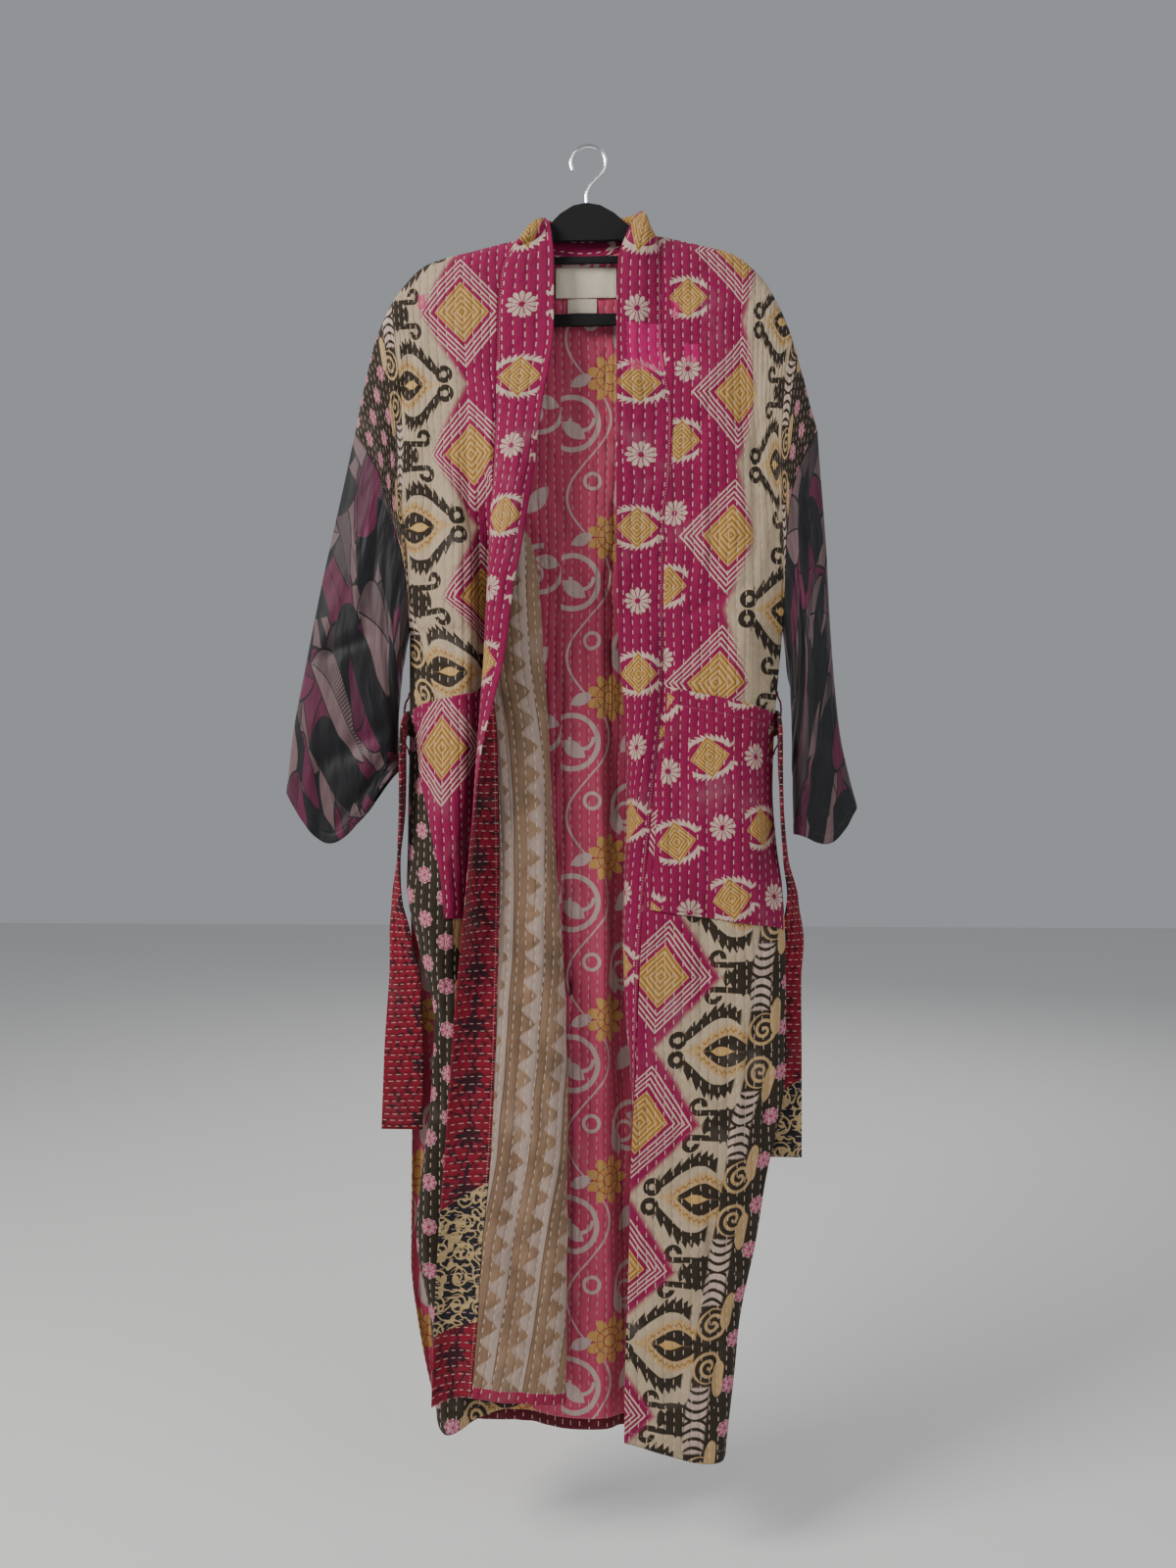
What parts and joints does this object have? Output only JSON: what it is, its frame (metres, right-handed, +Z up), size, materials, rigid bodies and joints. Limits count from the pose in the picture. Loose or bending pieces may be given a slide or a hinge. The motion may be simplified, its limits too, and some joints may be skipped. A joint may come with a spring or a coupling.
{
  "type": "kimono robe on a hanger",
  "caption": "Full-length open-front patchwork kimono robe of running-stitched cotton, with belt and patch pockets, hung flat on a velvet hanger.",
  "frame": {"origin": "inside top of the hook's crown, where the part hangs", "axes": "+Z up, the open front faces -Y, +X to the right of someone who looks at the front"},
  "size_m": [0.6592, 0.116, 1.501],
  "materials": {
    "outer_cloth": "matt printed cotton with running stitches",
    "vine_cloth": "matt printed cotton with running stitches",
    "crimson_cloth": "matt printed cotton with running stitches",
    "sleeve_cloth": "smooth printed viscose",
    "label_tape": "woven tape",
    "velvet": "short black velvet flock",
    "hook_wire": "polished wire"
  },
  "bodies": {
    "root": {"front_left_yoke": "outer_cloth", "front_left_waist": "outer_cloth", "front_left_skirt": "outer_cloth", "front_right_yoke": "outer_cloth", "front_right_waist": "outer_cloth", "front_right_skirt": "outer_cloth", "back_panel_yoke": "vine_cloth", "back_panel_waist": "vine_cloth", "back_panel_skirt": "vine_cloth", "band_left_yoke": "crimson_cloth", "band_left_waist": "crimson_cloth", "band_left_skirt": "crimson_cloth", "band_right_yoke": "outer_cloth", "band_right_waist": "outer_cloth", "band_right_skirt": "outer_cloth", "band_neck": "outer_cloth", "sleeve_left": "sleeve_cloth", "sleeve_right": "sleeve_cloth", "pocket_left": "outer_cloth", "pocket_right": "outer_cloth", "belt": "crimson_cloth", "belt_loop_left": "crimson_cloth", "belt_loop_right": "outer_cloth", "neck_label": "label_tape", "size_tag": "label_tape", "hanger_body": "velvet", "hanger_hook": "hook_wire"}
  },
  "joints": []
}
